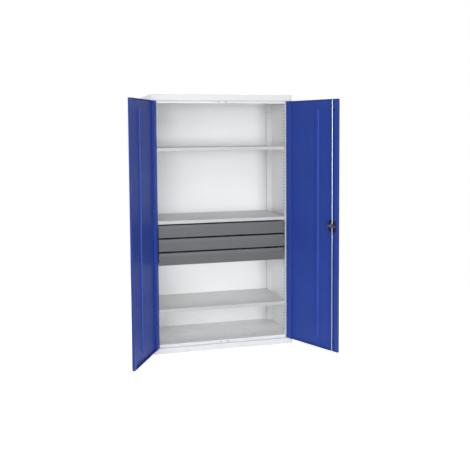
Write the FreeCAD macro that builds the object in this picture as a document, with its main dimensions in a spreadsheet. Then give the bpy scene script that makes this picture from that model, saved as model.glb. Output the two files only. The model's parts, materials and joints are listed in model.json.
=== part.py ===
import FreeCAD, Part
import os
import Sketcher

# A tall two-door tool cabinet of folded sheet steel, in millimetres. The origin is on the floor,
# at the middle of the footprint. +Z is up, and the doors face -Y. The doors stand open at rest.

doc = FreeCAD.newDocument("tool_cabinet")

SIZES = {
    # Carcass
    "width": 1100,
    "depth": 535,
    "height": 1950,
    "sheet": 1.2,
    "bend": 1.0,
    "rear_flange": 25,
    "weld_flange": 18,
    # Door recess and stops
    "jamb_face": 15,
    "stop_gap": 6,
    "stop_flange": 32,
    "jamb_lip": 20,
    "plinth_height": 44,
    "header_height": 44,
    "header_stop": 20,
    "rail_lip": 15,
    "floor_height": 66,
    "floor_flange": 25,
    "top_flange": 25,
    "support_width": 60,
    "support_foot": 15,
    # Perforated uprights
    "upright_inset": 2,
    "upright_gap": 2,
    "upright_width": 30,
    "upright_sheet": 1.5,
    "upright_head_gap": 4,
    "slot_first": 40,
    "slot_pitch": 25,
    "low_slots": 22,
    "high_slots": 35,
    "slot_width": 14,
    "slot_height": 8,
    # Shelves and their clips
    "shelf_setback": 16,
    "shelf_side_gap": 3,
    "shelf_rear_gap": 3,
    "shelf_sheet": 1,
    "shelf_lip": 26,
    "shelf_return": 12,
    "shelf_1_step": 57,
    "shelf_2_step": 35,
    "shelf_3_step": 8,
    "clip_width": 12,
    "clip_sheet": 2.5,
    "clip_reach": 18,
    "clip_gap": 0.5,
    "clip_hook_height": 9,
    # Drawers
    "drawer_top_gap": 10.5,
    "drawer_pitch": 105,
    "front_height": 92,
    "front_side_gap": 10,
    "front_thickness": 18,
    "front_crease": 67,
    "front_lean": 4,
    "front_sheet": 1,
    "tray_sheet": 1,
    "tray_lift": 8,
    "tray_height": 70,
    "tray_depth": 430,
    # Telescopic runners and the plates that carry them
    "carrier_sheet": 2,
    "carrier_margin": 5,
    "carrier_flange": 10,
    "rail_depth": 12.7,
    "rail_height": 42,
    "rail_sheet": 1.2,
    "rail_clearance": 0.5,
    "rail_length": 425,
    "rail_centre": 36,
    # Doors
    "door_sheet": 1,
    "door_thickness": 20,
    "door_gap": 3,
    "hinge_gap": 2.5,
    "centre_gap": 2,
    "hinge_flange": 45,
    "free_flange": 31,
    "return_gap": 0.3,
    "left_open_angle": 117.5,
    "right_open_angle": 115,
    "rib_width": 24,
    "rib_depth": 10,
    "rib_foot": 9,
    "rib_place": 316,
    "rib_end_gap": 67,
    "strip_width": 32,
    "strip_overlap": 14,
    "strip_gap": 0.3,
    "strip_end_gap": 14,
    # Door pivots
    "pivot_inset": 10.5,
    "pivot_depth": 6,
    "pivot_radius": 4,
    "pivot_clearance": 0.05,
    "collar_half": 6.5,
    "collar_gap": 0.1,
    "block_height": 14,
    "block_side": 17,
    "pivot_hole_gap": 1,
    # Rubber buffers
    "buffer_half": 5,
    "buffer_gap": 0.3,
    "buffer_inset": 7,
    "buffer_near": 28,
    "buffer_far": 505,
    # Lock, rods and handle
    "lock_height": 977,
    "rod_inset": 58,
    "rod_radius": 5,
    "rod_flange_gap": 0.5,
    "rod_end_gap": 6,
    "rod_hole_gap": 1,
    "rod_guide_gap": 0.05,
    "guide_place": 60,
    "guide_height": 18,
    "guide_half_width": 8,
    "guide_grip": 2.5,
    "strike_half": 14,
    "strike_margin": 3,
    "strike_sheet": 1.5,
    "strike_wall": 1,
    "crank_radius": 14,
    "pin_radius": 2.5,
    "pin_side_gap": 0.5,
    "pin_play": 0.6,
    "yoke_wall": 3,
    "yoke_near": 5.6,
    "yoke_sheet": 4,
    "yoke_neck": 8,
    "yoke_shoulder": 20,
    "spindle_radius": 5,
    "spindle_gap": 0.05,
    "case_half_height": 41,
    "case_free_reach": 21,
    "case_hinge_reach": 27,
    "case_floor": 5,
    "case_rim": 4,
    "shield_reach": 40,
    "shield_sheet": 2,
    "shield_clear": 20,
    "cam_gap": 0.3,
    "cam_sheet": 2.5,
    "cam_radius": 18,
    "cam_arm_width": 14,
    "cam_long_arm": 36,
    "cam_short_arm": 33,
    "fork_depth": 14,
    "fork_gap": 5,
    "plate_half_width": 17,
    "plate_above": 34,
    "plate_below": 92,
    "plate_thickness": 4,
    "hub_radius": 15,
    "hub_height": 12,
    "grip_length": 60,
    "grip_width": 20,
    "grip_height": 14,
    "grip_round": 6,
    "hub_gap": 0.2,
    "key_drop": 60,
    "barrel_radius": 9,
    "barrel_height": 6,
    "plug_radius": 6,
    "plug_gap": 0.05,
    "plug_depth": 12,
    "plug_proud": 1,
    "keyway_width": 2.2,
    "keyway_length": 8,
    "keyway_depth": 5,
}

LEFT = -1
RIGHT = 1
SIDE_NAMES = {LEFT: "left", RIGHT: "right"}
AXES = {"XY": "z", "XZ": "y", "YZ": "x"}

sheet = doc.addObject("Spreadsheet::Sheet", "Sizes")
for row, (name, number) in enumerate(SIZES.items(), start=1):
    sheet.set(f"A{row}", name)
    sheet.set(f"B{row}", str(number))
    sheet.setAlias(f"B{row}", name)
doc.recompute()


class Size:
    """A length worked out from the sheet's cells: its formula and its present value."""

    def __init__(self, formula, value):
        self.formula = formula
        self.value = value

    def joined(self, sign, other, value):
        return Size(f"({self.formula} {sign} {other.formula})", value)

    def __add__(self, other):
        other = as_size(other)
        return self.joined("+", other, self.value + other.value)

    def __sub__(self, other):
        other = as_size(other)
        return self.joined("-", other, self.value - other.value)

    def __mul__(self, other):
        other = as_size(other)
        return self.joined("*", other, self.value * other.value)

    def __truediv__(self, other):
        other = as_size(other)
        return self.joined("/", other, self.value / other.value)

    def __rmul__(self, other):
        return as_size(other) * self

    def __neg__(self):
        return as_size(-1) * self


def as_size(value):
    return value if isinstance(value, Size) else Size(repr(float(value)), float(value))


class Cells:
    """The sheet's cells by name."""

    def __getattr__(self, alias):
        return Size(f"Sizes.{alias}", float(SIZES[alias]))


S = Cells()
ZERO = as_size(0)
PIECES = []


class Circle:
    """A round loop of an outline."""

    def __init__(self, across, up, radius):
        self.centre = (as_size(across), as_size(up))
        self.radius = as_size(radius)


def fold(path, thickness, toward):
    """The closed outline of a sheet folded at right angles along a path of its outer face.

    The sheet's thickness lies to the left of the path where toward is 1, and to its right at -1.
    Returns the outline's points, the bends' points on the tight side, and those on the wide side.
    """
    runs = []
    for (ax, ay), (bx, by) in zip(path, path[1:]):
        dx, dy = bx.value - ax.value, by.value - ay.value
        runs.append((0, dy / abs(dy)) if abs(dy) > abs(dx) else (dx / abs(dx), 0))
    shifts = []
    for index in range(len(path)):
        near = runs[max(index - 1, 0):index + 1]
        shifts.append((-toward * sum(r[1] for r in near), toward * sum(r[0] for r in near)))
    inner = [(x + thickness * kx, y + thickness * ky) for (x, y), (kx, ky) in zip(path, shifts)]
    tight, wide = [], []
    for index in range(1, len(path) - 1):
        before, after = runs[index - 1], runs[index]
        turn = before[0] * after[1] - before[1] * after[0]
        outside = turn * toward > 0
        wide.append(path[index] if outside else inner[index])
        tight.append(inner[index] if outside else path[index])
    return path + inner[::-1], tight, wide


def origin_part(body, role):
    return [f for f in body.Origin.OriginFeatures if f.Role == role][0]


class Piece:
    """One node of the cabinet: a body built up from outlines on its own origin planes."""

    def __init__(self, label):
        self.body = doc.addObject("PartDesign::Body", label)
        self.body.Label = label
        PIECES.append(self.body)

    def bind(self, thing, prop, size):
        thing.setExpression(prop, as_size(size).formula)

    def outline(self, plane, loops, low):
        """A sketch of closed loops on an origin plane, moved along that plane's axis to low."""
        sketch = self.body.newObject("Sketcher::SketchObject", "Outline")
        sketch.AttachmentSupport = [(origin_part(self.body, plane + "_Plane"), "")]
        sketch.MapMode = "FlatFace"
        low = as_size(low)
        self.bind(sketch, "AttachmentOffset.Base.z", -low if plane == "XZ" else low)
        for loop in loops:
            if isinstance(loop, Circle):
                self.add_circle(sketch, loop)
            else:
                self.add_polygon(sketch, [(as_size(x), as_size(y)) for x, y in loop])
        return sketch

    def place(self, sketch, index, position, point):
        """Ties a point of the sketch's geometry to the origin by two bound distances."""
        for kind, size in (("DistanceX", point[0]), ("DistanceY", point[1])):
            rule = Sketcher.Constraint(kind, -1, 1, index, position, size.value)
            self.bind(sketch, f"Constraints[{sketch.addConstraint(rule)}]", size)

    def add_circle(self, sketch, loop):
        centre = FreeCAD.Vector(loop.centre[0].value, loop.centre[1].value, 0)
        round_edge = Part.Circle(centre, FreeCAD.Vector(0, 0, 1), loop.radius.value)
        index = sketch.addGeometry(round_edge)
        self.place(sketch, index, 3, loop.centre)
        rule = Sketcher.Constraint("Radius", index, loop.radius.value)
        self.bind(sketch, f"Constraints[{sketch.addConstraint(rule)}]", loop.radius)

    def add_polygon(self, sketch, points):
        spots = [FreeCAD.Vector(x.value, y.value, 0) for x, y in points]
        ends = spots[1:] + spots[:1]
        lines = [Part.LineSegment(a, b) for a, b in zip(spots, ends)]
        indices = sketch.addGeometry(lines)
        for here, following in zip(indices, indices[1:] + indices[:1]):
            sketch.addConstraint(Sketcher.Constraint("Coincident", here, 2, following, 1))
        for index, point in zip(indices, points):
            self.place(sketch, index, 1, point)

    def pad(self, plane, loops, low, high):
        """Adds the loops' area from low to high along the plane's axis."""
        pad = self.body.newObject("PartDesign::Pad", "Pad")
        pad.Profile = self.outline(plane, loops, low)
        pad.Reversed = plane == "XZ"
        self.bind(pad, "Length", as_size(high) - low)
        self.body.Tip = pad
        doc.recompute()
        return pad

    def cut(self, plane, loops, low, high):
        """Takes the loops' area away from low to high along the plane's axis."""
        pocket = self.body.newObject("PartDesign::Pocket", "Pocket")
        pocket.Profile = self.outline(plane, loops, low)
        pocket.Reversed = plane != "XZ"
        self.bind(pocket, "Length", as_size(high) - low)
        self.body.Tip = pocket
        doc.recompute()
        return pocket

    def row(self, feature, axis, spacing, count):
        """Repeats a feature along an axis."""
        pattern = self.body.newObject("PartDesign::LinearPattern", "Row")
        pattern.Originals = [feature]
        pattern.Direction = (origin_part(self.body, axis + "_Axis"), [""])
        pattern.Mode = "Spacing"
        self.bind(pattern, "Offset", spacing)
        self.bind(pattern, "Occurrences", count)
        self.body.Tip = pattern
        doc.recompute()
        return pattern

    def edges_at(self, plane, points):
        """The names of the straight edges that stand on the plane at the given points."""
        first, second = {"XY": "xy", "XZ": "xz", "YZ": "yz"}[plane]
        axis = AXES[plane]
        names = []
        for number, edge in enumerate(self.body.Shape.Edges, start=1):
            ends = [v.Point for v in edge.Vertexes]
            if len(ends) != 2 or not isinstance(edge.Curve, Part.Line):
                continue
            run = abs(getattr(ends[0], axis) - getattr(ends[1], axis))
            if run < edge.Length * STRAIGHT_SHARE:
                continue
            for x, y in points:
                miss = max(
                    abs(getattr(ends[0], first) - x.value),
                    abs(getattr(ends[0], second) - y.value),
                )
                if miss < SAME_PLACE:
                    names.append(f"Edge{number}")
        return names

    def soften(self, plane, points, radius):
        """Rounds the edges that stand on the plane at the given points."""
        base = self.body.Tip
        fillet = self.body.newObject("PartDesign::Fillet", "Bend")
        fillet.Base = (base, self.edges_at(plane, points))
        self.bind(fillet, "Radius", radius)
        self.body.Tip = fillet
        doc.recompute()

    def folded(self, plane, path, thickness, toward, low, high, rounded=None):
        """Adds a folded sheet, with its bends rounded, or only those whose numbers are given."""
        path = [(as_size(x), as_size(y)) for x, y in path]
        loop, tight, wide = fold(path, thickness, toward)
        self.pad(plane, [loop], low, high)
        bends = range(len(tight)) if rounded is None else rounded
        if bends:
            self.soften(plane, [tight[bend] for bend in bends], S.bend)
            self.soften(plane, [wide[bend] for bend in bends], S.bend + thickness)

    def at(self, x=None, y=None, z=None, angle=None):
        """Binds the body's place, and its turn about Z."""
        for prop, size in (("x", x), ("y", y), ("z", z)):
            if size is not None:
                self.bind(self.body, f"Placement.Base.{prop}", size)
        if angle is not None:
            self.bind(self.body, "Placement.Rotation.Angle", angle)
        doc.recompute()


STRAIGHT_SHARE = 0.999
SAME_PLACE = 0.001
DIAGONAL_SHARE = 0.70710678
HEXAGON_SHARE = 0.8660254


def rectangle(x_low, y_low, x_high, y_high):
    return [(x_low, y_low), (x_high, y_low), (x_high, y_high), (x_low, y_high)]


def ordered(a, b):
    return (a, b) if a.value < b.value else (b, a)


# Planes that several pieces share
front = -S.depth / 2
rear = S.depth / 2
wall_inside = S.width / 2 - S.sheet
roof_inside = S.height - S.sheet
back_inside = rear - S.sheet * 2
recess_half = S.width / 2 - S.jamb_face
opening_half = recess_half - S.stop_flange
stop_face = front + S.door_thickness + S.stop_gap
header_low = S.height - S.header_height
opening_high = header_low - S.header_stop
upright_half = opening_half + S.upright_inset
upright_front = stop_face + S.jamb_lip + S.upright_gap
upright_rear = back_inside - S.upright_width
slot_first = S.floor_height + S.slot_first
inside_front = stop_face + S.shelf_setback


def side_panel(side):
    piece = Piece(f"side_panel_{SIDE_NAMES[side]}")
    path = [
        ((S.width / 2 - S.rear_flange) * side, rear),
        (S.width / 2 * side, rear),
        (S.width / 2 * side, front),
        (recess_half * side, front),
        (recess_half * side, stop_face),
    ]
    piece.folded("XY", path, S.sheet, -side, ZERO, roof_inside)


def front_jamb(side):
    piece = Piece(f"front_jamb_{SIDE_NAMES[side]}")
    path = [
        (wall_inside * side, stop_face + S.weld_flange),
        (wall_inside * side, stop_face),
        (opening_half * side, stop_face),
        (opening_half * side, stop_face + S.jamb_lip),
    ]
    piece.folded("XY", path, S.sheet, -side, S.floor_height, opening_high, rounded=[1])


def square(across, up, half):
    return rectangle(across - half, up - half, across + half, up + half)


def rod_holes(piece, low, high):
    """Square holes for the lock rods through a ledge, under their strikes."""
    deep = front + S.pivot_depth + rod_depth
    holes = [square(rod_place * side, deep, strike_bore) for side in (LEFT, RIGHT)]
    piece.cut("XY", holes, low, high)


def header_rail():
    piece = Piece("header_rail")
    path = [
        (front + S.weld_flange, roof_inside),
        (front, roof_inside),
        (front, header_low),
        (stop_face, header_low),
        (stop_face, opening_high),
        (stop_face + S.rail_lip, opening_high),
    ]
    piece.folded("YZ", path, S.sheet, 1, -recess_half, recess_half)
    rod_holes(piece, header_low - S.door_gap, header_low + S.door_gap)


def bottom_rail():
    piece = Piece("bottom_rail")
    path = [
        (front + S.weld_flange, ZERO),
        (front, ZERO),
        (front, S.plinth_height),
        (stop_face, S.plinth_height),
        (stop_face, S.floor_height - S.sheet),
        (stop_face + S.rail_lip, S.floor_height - S.sheet),
    ]
    piece.folded("YZ", path, S.sheet, -1, -recess_half, recess_half)
    rod_holes(piece, S.plinth_height - S.door_gap, S.plinth_height + S.door_gap)


def top_panel():
    piece = Piece("top_panel")
    plate = rectangle(-S.width / 2, front, S.width / 2, rear)
    piece.pad("XY", [plate], roof_inside, S.height)
    near = wall_inside - S.sheet
    flanges = [
        rectangle(near * side, roof_inside - S.top_flange, wall_inside * side, roof_inside)
        for side in (LEFT, RIGHT)
    ]
    piece.pad("XZ", flanges, stop_face, back_inside)


def back_panel():
    piece = Piece("back_panel")
    half = wall_inside - S.bend
    plate = rectangle(-half, ZERO, half, roof_inside)
    piece.pad("XZ", [plate], back_inside, back_inside + S.sheet)


def floor_panel():
    piece = Piece("floor_panel")
    path = [
        (-wall_inside, S.floor_height - S.floor_flange),
        (-wall_inside, S.floor_height),
        (wall_inside, S.floor_height),
        (wall_inside, S.floor_height - S.floor_flange),
    ]
    piece.folded("XZ", path, S.sheet, -1, stop_face, back_inside, rounded=[])


def floor_support():
    """A hat-shaped channel that stands on the ground and carries the floor's middle."""
    piece = Piece("floor_support")
    half = S.support_width / 2
    crown = S.floor_height - S.sheet
    path = [
        (-half - S.support_foot, crown - S.sheet),
        (-half, crown - S.sheet),
        (-half, ZERO),
        (half, ZERO),
        (half, crown - S.sheet),
        (half + S.support_foot, crown - S.sheet),
    ]
    low = stop_face + S.rail_lip + S.upright_gap
    piece.folded("XZ", path, S.sheet, 1, low, back_inside, rounded=[])


def upright(side, place, y_low):
    piece = Piece(f"upright_{place}_{SIDE_NAMES[side]}")
    y_high = y_low + S.upright_width
    path = [
        (wall_inside * side, y_low),
        (upright_half * side, y_low),
        (upright_half * side, y_high),
        (wall_inside * side, y_high),
    ]
    top = roof_inside - S.top_flange - S.upright_head_gap
    piece.folded("XY", path, S.upright_sheet, -side, S.floor_height, top, rounded=[])
    middle = y_low + S.upright_width / 2
    near, far = ordered(
        (upright_half - S.upright_sheet) * side, (upright_half + S.upright_sheet * 2) * side
    )
    for first, count in ((ZERO, S.low_slots), (S.shelf_2_step, S.high_slots)):
        height = slot_first + S.slot_pitch * first
        slot = rectangle(
            middle - S.slot_width / 2,
            height - S.slot_height / 2,
            middle + S.slot_width / 2,
            height + S.slot_height / 2,
        )
        hole = piece.cut("YZ", [slot], near, far)
        piece.row(hole, "Z", S.slot_pitch, count)


def shelf_foot(number):
    """The height at which a shelf's folded edges stand on their clips."""
    steps = getattr(S, f"shelf_{number}_step")
    return slot_first + S.slot_pitch * steps - S.slot_height / 2 + S.clip_sheet


shelf_half = upright_half - S.shelf_side_gap
shelf_rear = back_inside - S.shelf_rear_gap


def shelf(number):
    piece = Piece(f"shelf_{number}")
    path = [
        (inside_front + S.shelf_return, ZERO),
        (inside_front, ZERO),
        (inside_front, S.shelf_lip),
        (shelf_rear, S.shelf_lip),
        (shelf_rear, ZERO),
        (shelf_rear - S.shelf_return, ZERO),
    ]
    piece.folded("YZ", path, S.shelf_sheet, -1, -shelf_half, shelf_half, rounded=[0, 1])
    end = rectangle(
        inside_front + S.shelf_sheet,
        ZERO,
        shelf_rear - S.shelf_sheet,
        S.shelf_lip - S.shelf_sheet,
    )
    piece.pad("YZ", [end], -shelf_half, S.shelf_sheet - shelf_half)
    piece.pad("YZ", [end], shelf_half - S.shelf_sheet, shelf_half)
    piece.at(z=shelf_foot(number))


def shelf_clips():
    """Twelve hooks through the uprights' slots, four under each shelf."""
    piece = Piece("shelf_clips")
    loops = []
    tip = upright_half - S.clip_reach
    back_low = upright_half + S.upright_sheet + S.clip_gap
    back_high = back_low + S.clip_sheet
    for number in (1, 2, 3):
        top = shelf_foot(number)
        seat = top - S.clip_sheet
        foot = top - S.clip_hook_height
        loops += [
            [
                (tip * side, seat),
                (back_low * side, seat),
                (back_low * side, foot),
                (back_high * side, foot),
                (back_high * side, top),
                (tip * side, top),
            ]
            for side in (LEFT, RIGHT)
        ]
    middle = upright_front + S.upright_width / 2
    hooks = piece.pad("XZ", loops, middle - S.clip_width / 2, middle + S.clip_width / 2)
    piece.row(hooks, "Y", upright_rear - upright_front, as_size(2))


# Drawers: each is built at the height of its front's lower edge
front_half = upright_half - S.front_side_gap
carrier_face = upright_half - S.carrier_sheet
tray_half = carrier_face - S.rail_depth
tray_front = inside_front + S.front_thickness
rail_front = tray_front + S.rail_clearance


def drawer_foot(number):
    """The height of a drawer front's lower edge."""
    top = shelf_foot(2) - S.drawer_top_gap
    return top - S.front_height - S.drawer_pitch * (number - 1)


def rail_loop(side, web, reach, half_height, toward, centre):
    """A runner's C-shaped section: web and reach are distances from the carrier plate."""
    path = [
        ((carrier_face - reach) * side, centre + half_height),
        ((carrier_face - web) * side, centre + half_height),
        ((carrier_face - web) * side, centre - half_height),
        ((carrier_face - reach) * side, centre - half_height),
    ]
    return fold([(as_size(x), as_size(y)) for x, y in path], S.rail_sheet, toward)[0]


middle_web = S.rail_sheet + S.rail_clearance
middle_half = S.rail_height / 2 - S.rail_sheet - S.rail_clearance
inner_half = middle_half - S.rail_sheet - S.rail_clearance
inner_reach = middle_web + S.rail_sheet + S.rail_clearance
outer_reach = S.rail_depth - S.rail_sheet - S.rail_clearance * 3
middle_reach = S.rail_depth - S.rail_sheet - S.rail_clearance


def rail_carrier(side):
    piece = Piece(f"rail_carrier_{SIDE_NAMES[side]}")
    low = drawer_foot(3) - S.carrier_margin
    high = shelf_foot(2) - S.clip_hook_height - S.carrier_margin
    path = [
        ((upright_half - S.carrier_flange) * side, high),
        (upright_half * side, high),
        (upright_half * side, low),
        ((upright_half - S.carrier_flange) * side, low),
    ]
    path = [(as_size(x), as_size(y)) for x, y in path]
    loop = fold(path, S.carrier_sheet, -side)[0]
    piece.pad("XZ", [loop], upright_front, upright_rear + S.upright_width)


def outer_rails():
    piece = Piece("drawer_outer_rails")
    loops = [
        rail_loop(side, ZERO, outer_reach, S.rail_height / 2, -side, drawer_foot(number) + S.rail_centre)
        for number in (1, 2, 3)
        for side in (LEFT, RIGHT)
    ]
    piece.pad("XZ", loops, rail_front, rail_front + S.rail_length)


def middle_rails(number):
    piece = Piece(f"drawer_{number}_middle_rails")
    loops = [
        rail_loop(side, middle_web, middle_reach, middle_half, -side, S.rail_centre)
        for side in (LEFT, RIGHT)
    ]
    piece.pad("XZ", loops, rail_front, rail_front + S.rail_length)
    piece.at(z=drawer_foot(number))


def inner_rails(number):
    piece = Piece(f"drawer_{number}_inner_rails")
    loops = [
        rail_loop(side, S.rail_depth, inner_reach, inner_half, side, S.rail_centre)
        for side in (LEFT, RIGHT)
    ]
    piece.pad("XZ", loops, rail_front, rail_front + S.rail_length)
    piece.at(z=drawer_foot(number))


def drawer_tray(number):
    piece = Piece(f"drawer_{number}_tray")
    tray_rear = tray_front + S.tray_depth
    tray_top = S.tray_lift + S.tray_height
    piece.pad("XY", [rectangle(-tray_half, tray_front, tray_half, tray_rear)], S.tray_lift, tray_top)
    hollow = rectangle(
        S.tray_sheet - tray_half,
        tray_front + S.tray_sheet,
        tray_half - S.tray_sheet,
        tray_rear - S.tray_sheet,
    )
    piece.cut("XY", [hollow], S.tray_lift + S.tray_sheet, tray_top)
    piece.at(z=drawer_foot(number))


def drawer_front(number):
    """A front panel whose upper band leans back above a crease."""
    piece = Piece(f"drawer_{number}_front")
    back_edge = inside_front + S.front_thickness
    outside = [
        (back_edge, ZERO),
        (inside_front, ZERO),
        (inside_front, S.front_crease),
        (inside_front + S.front_lean, S.front_height),
        (back_edge, S.front_height),
    ]
    inside = [
        (back_edge, S.front_height - S.front_sheet),
        (inside_front + S.front_lean + S.front_sheet, S.front_height - S.front_sheet),
        (inside_front + S.front_sheet, S.front_crease),
        (inside_front + S.front_sheet, S.front_sheet),
        (back_edge, S.front_sheet),
    ]
    piece.pad("YZ", [outside + inside], -front_half, front_half)
    piece.pad("YZ", [outside], -front_half, S.front_sheet - front_half)
    piece.pad("YZ", [outside], front_half - S.front_sheet, front_half)
    piece.at(z=drawer_foot(number))


# Doors: each is built shut, from its own pivot axis, and then turned open about it
pivot_place = recess_half - S.hinge_gap - S.pivot_inset
door_low = S.plinth_height + S.door_gap
door_high = header_low - S.door_gap
leaf_reach = pivot_place - S.centre_gap / 2
outer_face = -S.pivot_depth
inner_face = S.door_thickness - S.pivot_depth
skin_inside = outer_face + S.door_sheet
rod_depth = inner_face - S.door_sheet - S.rod_flange_gap - S.rod_radius
rod_place = S.rod_inset + S.centre_gap / 2
strike_bore = S.rod_radius + S.rod_hole_gap + S.strike_wall
rod_hole = S.rod_radius + S.rod_hole_gap / 2


def from_free(side, distance):
    """A door's own X at a distance from its free edge."""
    return (as_size(distance) - leaf_reach) * side


def on_door(piece, side):
    angle = S.right_open_angle if side == RIGHT else -S.left_open_angle
    piece.at(x=pivot_place * side, y=front + S.pivot_depth, angle=angle)


def door_panel(side):
    """A door's outer sheet, folded into a shallow tray with a box section along its hinge edge."""
    piece = Piece(f"door_{SIDE_NAMES[side]}_panel")
    hinge_edge = S.pivot_inset * side
    free_edge = from_free(side, ZERO)
    box_edge = hinge_edge - S.hinge_flange * side
    path = [
        (box_edge, skin_inside + S.return_gap),
        (box_edge, inner_face),
        (hinge_edge, inner_face),
        (hinge_edge, outer_face),
        (free_edge, outer_face),
        (free_edge, inner_face),
        (from_free(side, S.free_flange), inner_face),
    ]
    piece.folded("XY", path, S.door_sheet, -side, door_low, door_high)
    x_low, x_high = ordered(hinge_edge - S.door_sheet * side, free_edge + S.door_sheet * side)
    ends = [
        rectangle(skin_inside, edge, inner_face, edge + S.door_sheet * way)
        for edge, way in ((door_low, 1), (door_high, -1))
    ]
    piece.pad("YZ", ends, x_low, x_high)
    holes = [square(ZERO, ZERO, S.pivot_radius + S.pivot_hole_gap)]
    if side == RIGHT:
        holes.append(square(from_free(side, S.rod_inset), rod_depth, rod_hole))
    piece.cut("XY", holes, door_low, door_low + S.door_sheet)
    piece.cut("XY", holes, door_high - S.door_sheet, door_high)
    if side == RIGHT:
        lock_x = from_free(side, S.rod_inset)
        bores = [
            square(lock_x, S.lock_height, S.spindle_radius + S.pivot_hole_gap),
            square(lock_x, S.lock_height - S.key_drop, S.plug_radius + S.pivot_hole_gap),
        ]
        piece.cut("XZ", bores, outer_face, skin_inside)
    on_door(piece, side)


def door_rib(side):
    """A hat-shaped stiffener on the inside of a door's outer sheet."""
    piece = Piece(f"door_{SIDE_NAMES[side]}_stiffener")
    middle = (S.pivot_inset - S.rib_place) * side
    half = S.rib_width / 2
    foot = half + S.rib_foot
    crown = skin_inside + S.rib_depth
    path = [
        (middle - foot, skin_inside + S.door_sheet),
        (middle - half, skin_inside + S.door_sheet),
        (middle - half, crown),
        (middle + half, crown),
        (middle + half, skin_inside + S.door_sheet),
        (middle + foot, skin_inside + S.door_sheet),
    ]
    low = door_low + S.rib_end_gap
    piece.folded("XY", path, S.door_sheet, -1, low, door_high - S.rib_end_gap, rounded=[1, 2])
    on_door(piece, side)


def pivot_blocks(side):
    """The bored blocks in a door's lower and upper corners that turn on the pivots."""
    piece = Piece(f"door_{SIDE_NAMES[side]}_pivot_blocks")
    half = S.block_side / 2
    block = rectangle(-half, skin_inside, half, inner_face - S.door_sheet)
    loops = [block, Circle(ZERO, ZERO, S.pivot_radius + S.pivot_clearance)]
    low = door_low + S.door_sheet
    high = door_high - S.door_sheet
    piece.pad("XY", loops, low, low + S.block_height)
    piece.pad("XY", loops, high - S.block_height, high)
    on_door(piece, side)


def stop_strip():
    """The strip on the left door's free edge that the right door shuts against."""
    piece = Piece("door_left_stop_strip")
    near = from_free(LEFT, S.strip_width - S.strip_overlap)
    far = from_free(LEFT, -S.strip_overlap)
    low = inner_face + S.strip_gap
    strip = rectangle(near, low, far, low + S.sheet)
    piece.pad("XY", [strip], door_low + S.strip_end_gap, door_high - S.strip_end_gap)
    on_door(piece, LEFT)


def hexagon(across, up, half_flats):
    """A hexagon with two of its corners on the X axis's direction."""
    corner = half_flats / HEXAGON_SHARE
    corner_shares = [(1, 0), (0.5, 1), (-0.5, 1), (-1, 0), (-0.5, -1), (0.5, -1)]
    return [(across + corner * x, up + half_flats * y) for x, y in corner_shares]


def pivot_pins():
    """Four pivots, each with a hexagonal collar that stands on a ledge."""
    piece = Piece("pivot_pins")
    deep = front + S.pivot_depth
    collars = [hexagon(pivot_place * side, deep, S.collar_half) for side in (LEFT, RIGHT)]
    pins = [Circle(pivot_place * side, deep, S.pivot_radius) for side in (LEFT, RIGHT)]
    reach = S.door_gap + S.door_sheet + S.block_height
    piece.pad("XY", collars, S.plinth_height, door_low - S.collar_gap)
    piece.pad("XY", pins, door_low - S.collar_gap, S.plinth_height + reach)
    piece.pad("XY", collars, door_high + S.collar_gap, header_low)
    piece.pad("XY", pins, header_low - reach, door_high + S.collar_gap)


def rod_strikes():
    """Plates on the ledges with a bore each, which the lock rods run into."""
    piece = Piece("rod_strikes")
    loops = []
    for side in (LEFT, RIGHT):
        x = rod_place * side
        near, far = front + S.strike_margin, stop_face - S.strike_margin
        loops.append(rectangle(x - S.strike_half, near, x + S.strike_half, far))
        loops.append(Circle(x, front + S.pivot_depth + rod_depth, S.rod_radius + S.rod_hole_gap))
    piece.pad("XY", loops, S.plinth_height, S.plinth_height + S.strike_sheet)
    piece.pad("XY", loops, header_low - S.strike_sheet, header_low)


def door_buffers():
    """Rubber pads on the stops, behind the corners of both doors."""
    piece = Piece("door_buffers")
    low = door_low + S.buffer_inset
    high = door_high - S.buffer_inset
    loops = [
        square(across * side, height, S.buffer_half)
        for height in (low, high)
        for across in (S.buffer_near, S.buffer_far)
        for side in (LEFT, RIGHT)
    ]
    piece.pad("XZ", loops, front + S.door_thickness + S.buffer_gap, stop_face)


# The lock on the right door: a handle turns a cam, whose two pins drive the rods by their yokes
lock_x = from_free(RIGHT, S.rod_inset)
crank_drop = S.crank_radius * DIAGONAL_SHARE
pin_height = S.pin_radius + S.pin_play
yoke_far = S.crank_radius + S.pin_radius + S.pin_side_gap + S.yoke_wall
case_top = skin_inside + S.case_floor
shield_low = inner_face
cam_low = inner_face + S.shield_sheet + S.cam_gap
cam_high = cam_low + S.cam_sheet


def rod_guides():
    """Open clips near both ends of the right door, which hold the rods and let them slide."""
    piece = Piece("rod_guides")
    block = rectangle(
        lock_x - S.guide_half_width,
        skin_inside,
        lock_x + S.guide_half_width,
        rod_depth + S.guide_grip,
    )
    bore = Circle(lock_x, rod_depth, S.rod_radius + S.rod_guide_gap)
    for low in (door_low + S.guide_place, door_high - S.guide_place - S.guide_height):
        piece.pad("XY", [block], low, low + S.guide_height)
        piece.cut("XY", [bore], low, low + S.guide_height)
    on_door(piece, RIGHT)


def lock_case():
    """The lock's base, with a raised rim on the hinge side."""
    piece = Piece("lock_case")
    low = S.lock_height - S.case_half_height
    high = S.lock_height + S.case_half_height
    hinge_edge = lock_x + S.case_hinge_reach
    base = rectangle(lock_x - S.case_free_reach, low, hinge_edge, high)
    bore = Circle(lock_x, S.lock_height, S.spindle_radius + S.spindle_gap)
    piece.pad("XZ", [base, bore], skin_inside, case_top)
    rim = rectangle(hinge_edge - S.case_rim, low, hinge_edge, high)
    piece.pad("XZ", [rim], case_top, inner_face)
    on_door(piece, RIGHT)


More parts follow.
